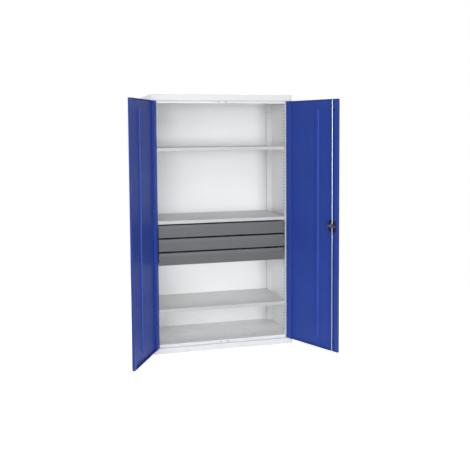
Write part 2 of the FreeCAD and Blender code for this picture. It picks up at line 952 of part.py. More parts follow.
def lock_shield():
    """The cover plate on the free edge's flange, cut back from the pins' sweep."""
    piece = Piece("lock_shield")
    outline = rectangle(
        lock_x - S.shield_reach,
        S.lock_height - S.case_half_height,
        lock_x - S.shield_clear,
        S.lock_height + S.case_half_height,
    )
    piece.pad("XZ", [outline], shield_low, shield_low + S.shield_sheet)
    on_door(piece, RIGHT)


def lock_rod(name, way):
    """A rod with a cranked yoke at the lock, whose slot takes a pin of the cam: way is 1 for the upper."""
    piece = Piece(name)
    slot_z = S.lock_height - crank_drop * way
    yoke_half = pin_height + S.yoke_wall
    neck = S.lock_height + S.yoke_neck * way
    shoulder = S.lock_height + S.yoke_shoulder * way
    yoke = [
        (lock_x + S.yoke_near * way, slot_z - yoke_half * way),
        (lock_x + yoke_far * way, slot_z - yoke_half * way),
        (lock_x + yoke_far * way, neck),
        (lock_x + S.rod_radius * way, shoulder),
        (lock_x - S.rod_radius * way, shoulder),
        (lock_x - S.rod_radius * way, neck),
        (lock_x + S.yoke_near * way, neck),
    ]
    near = crank_drop - S.pin_radius - S.pin_side_gap
    far = S.crank_radius + S.pin_radius + S.pin_side_gap
    slot = rectangle(
        lock_x + near * way, slot_z - pin_height, lock_x + far * way, slot_z + pin_height
    )
    half = S.yoke_sheet / 2
    piece.pad("XZ", [yoke, slot], rod_depth - half, rod_depth + half)
    end = door_high - S.rod_end_gap if way > 0 else door_low + S.rod_end_gap
    low, high = ordered(neck, end)
    piece.pad("XY", [Circle(lock_x, rod_depth, S.rod_radius)], low, high)
    on_door(piece, RIGHT)


def lock_cam():
    """The cam with its two arms, one forked, its two crank pins and the spindle."""
    piece = Piece("lock_cam")
    half = S.cam_arm_width / 2
    z = S.lock_height
    arm = [
        (lock_x - S.cam_short_arm, z - half),
        (lock_x + S.cam_long_arm, z - half),
        (lock_x + S.cam_long_arm, z - S.fork_gap / 2),
        (lock_x + S.cam_long_arm - S.fork_depth, z - S.fork_gap / 2),
        (lock_x + S.cam_long_arm - S.fork_depth, z + S.fork_gap / 2),
        (lock_x + S.cam_long_arm, z + S.fork_gap / 2),
        (lock_x + S.cam_long_arm, z + half),
        (lock_x - S.cam_short_arm, z + half),
    ]
    piece.pad("XZ", [arm], cam_low, cam_high)
    piece.pad("XZ", [Circle(lock_x, z, S.cam_radius)], cam_low, cam_high)
    pins = [
        Circle(lock_x + crank_drop * way, z - crank_drop * way, S.pin_radius) for way in (1, -1)
    ]
    piece.pad("XZ", pins, rod_depth - S.yoke_sheet / 2, cam_low)
    low = outer_face - S.plate_thickness - S.hub_gap
    piece.pad("XZ", [Circle(lock_x, z, S.spindle_radius)], low, cam_low)
    on_door(piece, RIGHT)


def handle_plate():
    """The plate under the handle, with the barrel of the key lock."""
    piece = Piece("handle_plate")
    z = S.lock_height
    key_z = z - S.key_drop
    low = outer_face - S.plate_thickness
    outline = rectangle(
        lock_x - S.plate_half_width, z - S.plate_below, lock_x + S.plate_half_width, z + S.plate_above
    )
    bore = Circle(lock_x, z, S.spindle_radius + S.spindle_gap)
    key_bore = Circle(lock_x, key_z, S.plug_radius + S.plug_gap)
    piece.pad("XZ", [outline, bore, key_bore], low, outer_face)
    barrel = Circle(lock_x, key_z, S.barrel_radius)
    piece.pad("XZ", [barrel, key_bore], low - S.barrel_height, low)
    on_door(piece, RIGHT)


def handle():
    """A turning grip on a round hub."""
    piece = Piece("handle")
    z = S.lock_height
    high = outer_face - S.plate_thickness - S.hub_gap
    hub_low = high - S.hub_height
    piece.pad("XZ", [Circle(lock_x, z, S.hub_radius)], hub_low, high)
    grip = rectangle(
        lock_x - S.grip_length / 2,
        z - S.grip_width / 2,
        lock_x + S.grip_length / 2,
        z + S.grip_width / 2,
    )
    piece.pad("XZ", [grip], hub_low - S.grip_height, hub_low)
    piece.soften("XZ", [(as_size(x), as_size(y)) for x, y in grip], S.grip_round)
    on_door(piece, RIGHT)


def key_plug():
    """The turning plug of the key lock, with its keyway."""
    piece = Piece("key_plug")
    z = S.lock_height - S.key_drop
    low = outer_face - S.plate_thickness - S.barrel_height - S.plug_proud
    plug = Circle(lock_x, z, S.plug_radius)
    piece.pad("XZ", [plug], low, low + S.plug_depth)
    keyway = rectangle(
        lock_x - S.keyway_width / 2,
        z - S.keyway_length / 2,
        lock_x + S.keyway_width / 2,
        z + S.keyway_length / 2,
    )
    piece.cut("XZ", [keyway], low, low + S.keyway_depth)
    on_door(piece, RIGHT)


for side in (LEFT, RIGHT):
    side_panel(side)
    front_jamb(side)
header_rail()
bottom_rail()
top_panel()
back_panel()
floor_panel()
floor_support()
for side in (LEFT, RIGHT):
    upright(side, "front", upright_front)
    upright(side, "rear", upright_rear)
for number in (1, 2, 3):
    shelf(number)
shelf_clips()
for side in (LEFT, RIGHT):
    rail_carrier(side)
outer_rails()
for number in (1, 2, 3):
    middle_rails(number)
    inner_rails(number)
    drawer_tray(number)
    drawer_front(number)
for side in (LEFT, RIGHT):
    door_panel(side)
    door_rib(side)
    pivot_blocks(side)
stop_strip()
pivot_pins()
rod_strikes()
door_buffers()
rod_guides()
lock_case()
lock_shield()
lock_rod("rod_upper", 1)
lock_rod("rod_lower", -1)
lock_cam()
handle_plate()
handle()
key_plug()

doc.recompute()
for thing in doc.Objects:
    if "Invalid" in thing.State or "Error" in thing.State:
        raise RuntimeError(f"{thing.Label} failed: {thing.State}")
for piece in PIECES:
    if piece.Shape.isNull() or not piece.Shape.isValid():
        raise RuntimeError(f"{piece.Label} has no valid shape")
os.makedirs("parts", exist_ok=True)
for piece in PIECES:
    piece.Shape.exportStep(f"parts/{piece.Label}.step")
    print(piece.Label, len(piece.Shape.Solids), round(piece.Shape.Volume))
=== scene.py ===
"""Dresses a packed two-door tool cabinet: its finishes, small fasteners, light, floor and camera.

Lengths are in metres. The cabinet's front faces -Y, +X is its right side and +Z is up.
"""
import json
import logging
import math
from dataclasses import dataclass
from enum import Enum
from typing import Iterable, Sequence, Union

import bmesh
import bpy
from mathutils import Matrix, Vector


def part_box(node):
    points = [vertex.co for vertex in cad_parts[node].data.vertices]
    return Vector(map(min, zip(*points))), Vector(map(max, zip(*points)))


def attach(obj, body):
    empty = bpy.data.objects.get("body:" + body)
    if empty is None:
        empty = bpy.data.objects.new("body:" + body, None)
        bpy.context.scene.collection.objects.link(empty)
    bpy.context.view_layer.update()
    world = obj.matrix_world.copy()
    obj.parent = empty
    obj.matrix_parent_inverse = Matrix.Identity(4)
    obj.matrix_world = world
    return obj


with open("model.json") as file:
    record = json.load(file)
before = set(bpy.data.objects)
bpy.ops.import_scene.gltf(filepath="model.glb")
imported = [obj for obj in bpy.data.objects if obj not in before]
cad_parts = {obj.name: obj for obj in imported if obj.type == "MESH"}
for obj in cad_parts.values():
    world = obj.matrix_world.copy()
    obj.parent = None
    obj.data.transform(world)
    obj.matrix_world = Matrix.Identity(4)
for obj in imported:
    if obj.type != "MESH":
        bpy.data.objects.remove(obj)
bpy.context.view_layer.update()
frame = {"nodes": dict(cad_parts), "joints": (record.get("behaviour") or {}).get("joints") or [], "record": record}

log = logging.getLogger("tool_cabinet")

NOISE_MIDDLE = 0.5
WHITE = (1.0, 1.0, 1.0, 1.0)
CHART_FULL = 255
CHART_OFFSET = 0.055
CHART_POWER = 2.4

Colour = tuple[float, float, float]
Operand = Union["Socket", float, int]
Tint = Union["Socket", Colour]
Ring = tuple[float, float]
Stops = Sequence[tuple[float, float]]
Dressed = Union[bpy.types.Material, bpy.types.World]


class Slot(Enum):
    """The record's material slots, by the finish that each one holds."""

    CABINET = "cabinet_grey"
    SHELF = "shelf_grey"
    DOOR = "door_blue"
    DRAWER = "drawer_grey"
    ZINC = "zinc"
    CHROME = "chrome"
    PLASTIC = "black_plastic"
    RUBBER = "rubber"


def painted(red: int, green: int, blue: int) -> Colour:
    """A colour chart's red, green and blue, from 0 to 255, as the linear light that shaders take."""
    parts = (part / CHART_FULL for part in (red, green, blue))
    return tuple(((part + CHART_OFFSET) / (1 + CHART_OFFSET)) ** CHART_POWER for part in parts)


class Socket:
    """An output of a shader node, with the arithmetic that the finishes use."""

    def __init__(self, shader: "Shader", output: bpy.types.NodeSocket | None) -> None:
        """Wraps an output.

        Args:
            shader: The shader that the node belongs to.
            output: The node's output, or None for a node that has none.
        """
        self.shader = shader
        self.output = output

    def __add__(self, other: Operand) -> "Socket":
        """The sum of two values."""
        return self.shader.maths("ADD", self, other)

    def __sub__(self, other: Operand) -> "Socket":
        """The difference of two values."""
        return self.shader.maths("SUBTRACT", self, other)

    def __rsub__(self, other: Operand) -> "Socket":
        """A number less this value."""
        return self.shader.maths("SUBTRACT", other, self)

    def __mul__(self, other: Operand) -> "Socket":
        """The product of two values."""
        return self.shader.maths("MULTIPLY", self, other)

    __radd__ = __add__
    __rmul__ = __mul__

    def at_most(self, other: Operand) -> "Socket":
        """The smaller of two values."""
        return self.shader.maths("MINIMUM", self, other)

    def at_least(self, other: Operand) -> "Socket":
        """The larger of two values."""
        return self.shader.maths("MAXIMUM", self, other)

    def size(self) -> "Socket":
        """The value without its sign."""
        return self.at_least(0.0 - self)

    def over(self, limit: Operand) -> "Socket":
        """1 where the value is over a limit, and 0 elsewhere."""
        return self.shader.maths("GREATER_THAN", self, limit)


class Shader:
    """A material or world under construction: its node tree and the nodes that every finish uses."""

    def __init__(self, owner: Dressed) -> None:
        """Starts with an empty node tree.

        Args:
            owner: The material or world that the nodes belong to.
        """
        self.owner = owner
        owner.use_nodes = True
        self.tree = owner.node_tree
        self.tree.nodes.clear()

    @classmethod
    def of_material(cls, name: str) -> "Shader":
        """A shader for a new material of this name."""
        return cls(bpy.data.materials.new(name))

    def node(self, kind: str, settings: dict | None = None, inputs: dict | None = None,
             output: str | int = 0) -> Socket:
        """Adds a node.

        Args:
            kind: The node's type, without its ShaderNode prefix.
            settings: The node's own settings, set before its inputs. "stops" holds a ramp's stops.
            inputs: Values or sockets for its inputs, by name or number.
            output: The output that is returned, by name or number.

        Returns:
            The chosen output.
        """
        made = self.tree.nodes.new("ShaderNode" + kind)
        for setting, value in (settings or {}).items():
            if setting == "stops":
                self._set_stops(made.color_ramp, value)
            else:
                setattr(made, setting, value)
        for name, value in (inputs or {}).items():
            if isinstance(value, Socket):
                self.tree.links.new(value.output, made.inputs[name])
            else:
                made.inputs[name].default_value = value
        return Socket(self, made.outputs[output] if made.outputs else None)

    @staticmethod
    def _set_stops(ramp: bpy.types.ColorRamp, stops: Stops) -> None:
        """Gives a ramp its grey stops.

        Args:
            ramp: The ramp, as Blender makes it, with two stops.
            stops: Position and grey value of each stop.
        """
        while len(ramp.elements) < len(stops):
            ramp.elements.new(1.0)
        for element, (position, value) in zip(ramp.elements, stops):
            element.position = position
            element.color = (value, value, value, 1.0)

    def maths(self, operation: str, first: Operand, second: Operand) -> Socket:
        """A Math node on two values."""
        return self.node("Math", {"operation": operation}, {0: first, 1: second})

    def place(self) -> Socket:
        """The shaded point's place in the object's own space, in metres."""
        return self.node("TexCoord", output="Object")

    def noise(self, size: float, detail: float = 2.0,
              stretch: Sequence[float] = (1.0, 1.0, 1.0)) -> Socket:
        """A soft noise from 0 to 1.

        Args:
            size: The width of one blotch in metres.
            detail: How many finer octaves lie on it.
            stretch: How much longer a blotch is along X, Y and Z.

        Returns:
            The noise's value.
        """
        scale = tuple(1.0 / part for part in stretch)
        drawn = self.node("Mapping", inputs={"Vector": self.place(), "Scale": scale})
        return self.node("TexNoise", inputs={"Vector": drawn, "Scale": 1.0 / size, "Detail": detail})

    def ramp(self, value: Socket, stops: Stops) -> Socket:
        """A value bent by grey stops."""
        return self.node("ValToRGB", {"stops": stops}, {"Fac": value})

    def mixed(self, share: Operand, first: Tint, second: Tint) -> Socket:
        """The colour between two colours, at a share from 0 to 1."""
        first, second = (tint if isinstance(tint, Socket) else (*tint, 1.0) for tint in (first, second))
        return self.node("Mix", {"data_type": "RGBA"}, {0: share, 6: first, 7: second}, 2)

    def facing(self, way: Vector) -> Socket:
        """How squarely the surface faces a way of the object's own space, or its opposite, from 0 to 1."""
        normal = self.node("TexCoord", output="Normal")
        return self.node("VectorMath", {"operation": "DOT_PRODUCT"}, {0: normal, 1: way}, "Value").size()

    def along(self, axis: str) -> Socket:
        """The shaded point's place along X, Y or Z, in metres."""
        return self.node("SeparateXYZ", inputs={"Vector": self.place()}, output=axis)

    def bump(self, height: Socket, depth: float, strength: float = 1.0) -> Socket:
        """A normal bent by a height.

        Args:
            height: The height, from 0 to 1.
            depth: The relief in metres where the height is 1.
            strength: The share of the relief that shows.

        Returns:
            The normal.
        """
        return self.node("Bump", inputs={"Strength": strength, "Distance": depth, "Height": height})

    def surface(self, **inputs: object) -> bpy.types.Material:
        """Ends the material with one principled surface.

        Args:
            **inputs: The shader's inputs, with underscores for the blanks in their names.

        Returns:
            The finished material.
        """
        named = {name.replace("_", " "): value for name, value in inputs.items()}
        return self.ended(self.node("BsdfPrincipled", inputs=named))

    def ended(self, last: Socket, kind: str = "OutputMaterial") -> Dressed:
        """The material or world, with a shader linked to its output."""
        self.node(kind, inputs={"Surface": last})
        return self.owner


@dataclass(frozen=True)
class Hollow:
    """The inside of a pair of upright channels, one at each side wall, which takes painted shade.

    Attributes:
        reach: How far from the cabinet's middle the inside starts.
        middle: The Y of the channels' middle.
        half: Half of the inside's depth along Y.
    """

    reach: float
    middle: float
    half: float

    def mask(self, shader: Shader) -> Socket:
        """1 on the channels' inner faces, and 0 outside.

        Args:
            shader: The shader that the mask is drawn in.

        Returns:
            The mask.
        """
        behind = shader.along("X").size().over(self.reach)
        between = 1.0 - (shader.along("Y") - self.middle).size().over(self.half)
        return behind * between


@dataclass(frozen=True)
class PowderCoat:
    """Baked powder paint on sheet steel: an even colour, an orange-peel skin and faint scuffs low down, with a
    painted highlight on a rib's flanks and painted shade inside channels where asked for.

    Attributes:
        colour: The paint.
        shade: The paint where the coat lies a little thicker, in wide soft clouds.
        scuff: The grey of the scuffs near the floor.
        polish_and_flank_highlight: The painted highlight on the flanks of a rib, a lighter colour that stands in
            for light catching them.
        painted_hollow_shade: The near-black painted shade on the faces hidden inside a channel.
        roughness: The paint's own roughness.
        gloss: The strength of its mirror light.
        peel_size: The width of an orange-peel dimple.
        peel_depth: Its depth.
        peel_strength: The share of that depth that shows.
        cloud_size: The width of a cloud.
        cloud_stops: Where a cloud fades in.
        rub_size: The width of a spot that hands have polished.
        rub: How much smoother or rougher such a spot is.
        scuff_top: The height over the floor that scuffs reach.
        scuff_share: How far the strongest scuff hides the paint.
        scuff_rough: How much rougher a scuff is.
        streak_size: The height of a scuff.
        streak_run: Its stretch along X, Y and Z.
        streak_stops: Where a scuff fades in.
    """

    colour: Colour
    shade: Colour
    scuff: Colour
    polish_and_flank_highlight: Colour = (0.5, 0.5, 0.5)
    painted_hollow_shade: Colour = (0.012, 0.012, 0.013)
    roughness: float = 0.42
    gloss: float = 0.4
    peel_size: float = 0.0022
    peel_depth: float = 0.00004
    peel_strength: float = 0.6
    cloud_size: float = 0.35
    cloud_stops: Stops = ((0.3, 0.0), (0.7, 1.0))
    rub_size: float = 0.05
    rub: float = 0.1
    scuff_top: float = 0.16
    scuff_share: float = 0.3
    scuff_rough: float = 0.4
    streak_size: float = 0.004
    streak_run: tuple[float, float, float] = (16.0, 16.0, 1.0)
    streak_stops: Stops = ((0.52, 0.0), (0.74, 1.0))

    def material(self, name: str, flank_highlight_way: Vector | None = None,
                 hollow: Hollow | None = None) -> bpy.types.Material:
        """The paint as a material.

        Args:
            name: The material's name.
            flank_highlight_way: The way that a rib's flanks face. They get a painted highlight, a lighter colour
                than the rest.
            hollow: Where the faces hidden inside the channels get painted shade.

        Returns:
            The material.
        """
        shader = Shader.of_material(name)
        cloud = shader.ramp(shader.noise(self.cloud_size), self.cloud_stops)
        # Spots that hands have polished: they change only the roughness.
        polish_and_flank_highlight = shader.noise(self.rub_size, detail=4.0)
        peel = shader.noise(self.peel_size, detail=1.0)
        band = {"Value": shader.along("Z"), "From Min": self.scuff_top, "From Max": 0.0}
        low = shader.node("MapRange", inputs=band)
        streaks = shader.noise(self.streak_size, detail=4.0, stretch=self.streak_run)
        scuffed = low * shader.ramp(streaks, self.streak_stops) * self.scuff_share
        clean = shader.mixed(cloud, self.shade, self.colour)
        # Painted highlight: a rib's flanks take a lighter colour, which stands in for light catching them.
        if flank_highlight_way is not None:
            clean = shader.mixed(shader.facing(flank_highlight_way), clean, self.polish_and_flank_highlight)
        # Painted shade: the faces hidden inside the upright channels turn near-black, which stands in for the
        # shade there.
        if hollow is not None:
            clean = shader.mixed(hollow.mask(shader), clean, self.painted_hollow_shade)
        return shader.surface(
            Base_Color=shader.mixed(scuffed, clean, self.scuff),
            Roughness=self.roughness + (polish_and_flank_highlight - NOISE_MIDDLE) * self.rub + scuffed * self.scuff_rough,
            Specular_IOR_Level=self.gloss,
            Normal=shader.bump(peel, self.peel_depth, self.peel_strength),
        )


@dataclass(frozen=True)
class BrightZinc:
    """Blue-bright zinc plating on drawn or rolled steel, with its drawing marks along one axis.

    Attributes:
        colour: The plating.
        shade: The plating where it is stained.
        roughness: Its roughness.
        mark_size: The width of a drawing mark.
        mark_run: Its stretch along X, Y and Z.
        mark_depth: Its depth.
        mark_strength: The share of that depth that shows.
        stain_size: The width of a stain.
        stain_rough: How much smoother or rougher a stain is.
        metal: How far the surface is a bare metal.
    """

    colour: Colour = (0.62, 0.64, 0.67)
    shade: Colour = (0.46, 0.47, 0.49)
    roughness: float = 0.34
    mark_size: float = 0.0009
    mark_run: tuple[float, float, float] = (1.0, 1.0, 60.0)
    mark_depth: float = 0.00002
    mark_strength: float = 0.5
    stain_size: float = 0.03
    stain_rough: float = 0.16
    metal: float = 1.0

    def material(self, name: str) -> bpy.types.Material:
        """The plating as a material.

        Args:
            name: The material's name.

        Returns:
            The material.
        """
        shader = Shader.of_material(name)
        marks = shader.noise(self.mark_size, stretch=self.mark_run)
        stain = shader.noise(self.stain_size, detail=3.0)
        return shader.surface(
            Base_Color=shader.mixed(stain, self.shade, self.colour),
            Metallic=self.metal,
            Roughness=self.roughness + (stain - NOISE_MIDDLE) * self.stain_rough,
            Normal=shader.bump(marks, self.mark_depth, self.mark_strength),
        )


@dataclass(frozen=True)
class PolishedSteel:
    """Chromed steel with the faint wipe marks of use."""

    colour: Colour = (0.78, 0.78, 0.79)
    shade: Colour = (0.7, 0.7, 0.72)
    roughness: float = 0.12
    wipe_size: float = 0.008
    wipe_run: tuple[float, float, float] = (3.0, 1.0, 1.0)
    wipe_rough: float = 0.1

    def material(self, name: str) -> bpy.types.Material:
        """The chrome as a material.

        Args:
            name: The material's name.

        Returns:
            The material.
        """
        shader = Shader.of_material(name)
        wiped = shader.noise(self.wipe_size, detail=3.0, stretch=self.wipe_run)
        return shader.surface(
            Base_Color=shader.mixed(wiped, self.shade, self.colour),
            Metallic=1.0,
            Roughness=self.roughness + wiped * self.wipe_rough,
        )


@dataclass(frozen=True)
class MouldedPlastic:
    """Glass-filled plastic with a fine eroded grain.

    Attributes:
        colour: The plastic.
        shade: The plastic where hands have worn it.
        roughness: Its roughness.
        gloss: The strength of its mirror light.
        grain_size: The width of a grain.
        grain_depth: Its depth.
        grain_strength: The share of that depth that shows.
        worn_size: The width of a worn spot.
        worn_rough: How much smoother or rougher it is.
    """

    colour: Colour = (0.012, 0.012, 0.013)
    shade: Colour = (0.02, 0.02, 0.021)
    roughness: float = 0.48
    gloss: float = 0.25
    grain_size: float = 0.0012
    grain_depth: float = 0.00006
    grain_strength: float = 0.7
    worn_size: float = 0.02
    worn_rough: float = 0.14

    def material(self, name: str) -> bpy.types.Material:
        """The plastic as a material.

        Args:
            name: The material's name.

        Returns:
            The material.
        """
        shader = Shader.of_material(name)
        grain = shader.noise(self.grain_size, detail=3.0)
        worn = shader.noise(self.worn_size)
        return shader.surface(
            Base_Color=shader.mixed(worn, self.colour, self.shade),
            Roughness=self.roughness + (worn - NOISE_MIDDLE) * self.worn_rough,
            Specular_IOR_Level=self.gloss,
            Normal=shader.bump(grain, self.grain_depth, self.grain_strength),
        )


@dataclass(frozen=True)
class SoftRubber:
    """Dull pale grey rubber with a dusty bloom."""

    colour: Colour = (0.46, 0.46, 0.45)
    bloom: Colour = (0.56, 0.56, 0.55)
    roughness: float = 0.75
    dust_size: float = 0.004
    dust_depth: float = 0.00008
    dust_strength: float = 0.5
    dust_rough: float = 0.15

    def material(self, name: str) -> bpy.types.Material:
        """The rubber as a material.

        Args:
            name: The material's name.

        Returns:
            The material.
        """
        shader = Shader.of_material(name)
        dust = shader.noise(self.dust_size, detail=4.0)
        return shader.surface(
            Base_Color=shader.mixed(dust, self.colour, self.bloom),
            Roughness=self.roughness + dust * self.dust_rough,
            Normal=shader.bump(dust, self.dust_depth, self.dust_strength),
        )


FINISHES = {
    Slot.CABINET: PowderCoat(painted(231, 232, 232), painted(226, 227, 228), painted(150, 148, 144)),
    Slot.SHELF: PowderCoat(painted(196, 197, 196), painted(191, 192, 191), painted(120, 118, 115),
                           gloss=0.5),
    Slot.DOOR: PowderCoat(painted(49, 74, 160), painted(46, 70, 153), painted(90, 100, 140),
                          # The lighter blue is a painted highlight on the stiffeners' flanks.
                          polish_and_flank_highlight=painted(76, 100, 184), gloss=0.16),
    Slot.DRAWER: PowderCoat(painted(98, 99, 102), painted(94, 95, 98), painted(78, 78, 80), gloss=0.3),
    Slot.ZINC: BrightZinc(),
    Slot.CHROME: PolishedSteel(),
    Slot.PLASTIC: MouldedPlastic(),
    Slot.RUBBER: SoftRubber(),
}


class Finishes:
    """The materials of the whole cabinet, one for each slot, made when first asked for."""

    def __init__(self) -> None:
        """Starts with none made."""
        self._made: dict[Slot, bpy.types.Material] = {}

    def of(self, slot: Slot) -> bpy.types.Material:
        """The material of a slot.

        Args:
            slot: The finish.

        Returns:
            The material, made at the first call.
        """
        if slot not in self._made:
            self._made[slot] = FINISHES[slot].material(slot.value)
        return self._made[slot]

    def dress(self, piece: bpy.types.Object, slot: Slot) -> None:
        """Gives a piece one finish.

        Args:
            piece: The mesh to dress.
            slot: The finish.
        """
        piece.data.materials.clear()
        piece.data.materials.append(self.of(slot))

    def add(self, piece: bpy.types.Object, slot: Slot, body: str) -> None:
        """Gives a new piece its finish and its body.

        Args:
            piece: The new piece.
            slot: The finish.
            body: The body that it rides on.
        """
        self.dress(piece, slot)
        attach(piece, body)

    def dress_nodes(self, slot: Slot, names: Iterable[str]) -> int:
        """Gives CAD nodes one finish.

        Args:
            slot: The finish.
            names: The nodes' names.

        Returns:
            How many nodes were dressed.
        """
        return self.dress_with(self.of(slot), names)

    @staticmethod
    def dress_with(finish: bpy.types.Material, names: Iterable[str]) -> int:
        """Gives CAD nodes a finish of their own.

        Args:
            finish: The material.
            names: The nodes' names.

        Returns:
            How many nodes were dressed.
        """
        count = 0
        for name in names:
            slots = frame["nodes"][name].data.materials
            slots.clear()
            slots.append(finish)
            count += 1
        return count


def turned(mesh: bmesh.types.BMesh, profile: Sequence[Ring], turns: int,
           place: Matrix) -> list[list[bmesh.types.BMVert]]:
    """Adds a turned shell with an open top.

    Args:
        mesh: The mesh that takes it.
        profile: Radius and height of each ring, from the lowest.
        turns: How many sides a ring has.
        place: Where the shell stands: its +Z is its axis.

    Returns:
        The corners of each ring.
    """
    rings = []
    angles = [math.tau * side / turns for side in range(turns)]
    for reach, up in profile:
        corners = [Vector((reach * math.cos(angle), reach * math.sin(angle), up)) for angle in angles]
        rings.append([mesh.verts.new(place @ corner) for corner in corners])
    for low, high in zip(rings, rings[1:]):
        for side in range(turns):
            following = (side + 1) % turns
            mesh.faces.new((low[side], low[following], high[following], high[side])).smooth = True
    mesh.faces.new(rings[0][::-1])
    return rings


@dataclass
class WeldMark:
    """The shallow ring that a spot welder's tip leaves in the sheet.

    Attributes:
        radius: The ring's radius.
        lip: How high it stands.
        turns: How many sides it has.
        outline: Share of the radius and of the lip at each ring, from the outermost.
    """

    radius: float = 0.0036
    lip: float = 0.0003
    turns: int = 20
    outline: tuple[Ring, ...] = ((1.0, 0.0), (0.86, 1.0), (0.7, 1.0), (0.55, 0.2))

    def add_to(self, mesh: bmesh.types.BMesh, place: Matrix) -> None:
        """Adds one mark to a mesh, on the face that the place's +Z looks out of."""
        profile = [(self.radius * reach, self.lip * up) for reach, up in self.outline]
        mesh.faces.new(turned(mesh, profile, self.turns, place)[-1])


@dataclass
class Screw:
    """A domed screw head with a cross recess, standing on a face.

    Attributes:
        radius: The head's radius.
        height: Its height.
        recess_reach: How far an arm of the recess reaches from the middle.
        recess_width: An arm's width.
        recess_depth: The recess's depth.
        recess_taper: The size of the recess's floor, where its mouth is 1.
        arms: How many arms the recess has.
        turns: How many sides the head has.
        outline: Share of the radius and of the height at each ring, from the lowest.
    """

    radius: float = 0.0042
    height: float = 0.0022
    recess_reach: float = 0.0024
    recess_width: float = 0.0009
    recess_depth: float = 0.0014
    recess_taper: float = 0.6
    arms: int = 4
    turns: int = 24
    outline: tuple[Ring, ...] = ((1.0, 0.0), (1.0, 0.35), (0.93, 0.7), (0.8, 1.0))

    def recess_outline(self) -> list[tuple[float, float]]:
        """The cross-shaped recess, seen from above.

        Returns:
            Its corners, anticlockwise.
        """
        corners = []
        half = self.recess_width / 2
        for index in range(self.arms):
            turn = Matrix.Rotation(math.tau * index / self.arms, 2)
            for across, up in ((self.recess_reach, -half), (self.recess_reach, half), (half, half)):
                corners.append(tuple(turn @ Vector((across, up))))
        return corners

    def add_to(self, mesh: bmesh.types.BMesh, place: Matrix) -> None:
        """Adds one head to a mesh.

        Args:
            mesh: The mesh that takes it.
            place: Where the head stands: its +Z is the way that it looks.
        """
        profile = [(self.radius * reach, self.height * up) for reach, up in self.outline]
        top = turned(mesh, profile, self.turns, place)[-1]
        recess = self.recess_outline()
        lip = [mesh.verts.new(place @ Vector((x, y, self.height))) for x, y in recess]
        taper, deep = self.recess_taper, self.height - self.recess_depth
        floor = [mesh.verts.new(place @ Vector((x * taper, y * taper, deep))) for x, y in recess]
        edges = []
        for loop in (top, lip):
            for here, following in zip(loop, loop[1:] + loop[:1]):
                edges.append(mesh.edges.get((here, following)) or mesh.edges.new((here, following)))
        upward = place.to_3x3() @ Vector((0, 0, 1))
        bmesh.ops.triangle_fill(mesh, use_beauty=True, edges=edges, normal=upward)
        for index in range(len(recess)):
            following = (index + 1) % len(recess)
            mesh.faces.new((lip[following], lip[index], floor[index], floor[following]))
        mesh.faces.new(floor)


def finished(name: str, mesh: bmesh.types.BMesh) -> bpy.types.Object:
    """Turns a mesh into a piece of the scene.

    Args:
        name: The piece's name.
        mesh: Its mesh, which is freed.

    Returns:
        The piece.
    """
    bmesh.ops.recalc_face_normals(mesh, faces=mesh.faces)
    data = bpy.data.meshes.new(name)
    mesh.to_mesh(data)
    mesh.free()
    piece = bpy.data.objects.new(name, data)
    bpy.context.scene.collection.objects.link(piece)
    return piece


@dataclass
class Leaf:
    """A door's own axes: its pivot, and the angle that it stands open at."""

    joint: str

    def __post_init__(self) -> None:
        """Finds the pivot and the angle in the frame."""
        joint = next(j for j in frame["joints"] if j["name"] == self.joint)
        self.body = joint["child"]
        self.pivot = Vector(joint["pos_m"])
        self.angle = -math.radians(joint["range_deg"][0]) * joint["axis"][2]

    def at(self, across: float, deep: float, up: float) -> Matrix:
        """The place of a point of the shut door, turned open with it.

        Args:
            across: Distance from the pivot along X.
            deep: Distance from the pivot along Y, into the cabinet.
            up: Height over the floor.

        Returns:
            The place, whose +Z looks out of the door's inner side.
        """
        inward = Matrix.Rotation(-math.pi / 2, 4, "X")
        return self.opened() @ Matrix.Translation((across, deep, up)) @ inward

    def opened(self) -> Matrix:
        """The turn that takes the shut door's own axes to where it stands."""
        return Matrix.Translation(self.pivot) @ Matrix.Rotation(self.angle, 4, "Z")

    def span(self, node: str) -> tuple[Vector, Vector]:
        """The box of a node in the door's own axes.

        Args:
            node: The node's name.

        Returns:
            Its lowest and its highest corner.
        """
        back = self.opened().inverted()
        corners = [back @ vertex.co for vertex in frame["nodes"][node].data.vertices]
        low, high = (Vector([pick(values) for values in zip(*corners)]) for pick in (min, max))
        return low, high


def spread(low: float, high: float, pitch: float) -> list[float]:
    """Even steps from low to high, about a pitch apart."""
    count = max(1, round((high - low) / pitch))
    return [low + (high - low) * step / count for step in range(count + 1)]


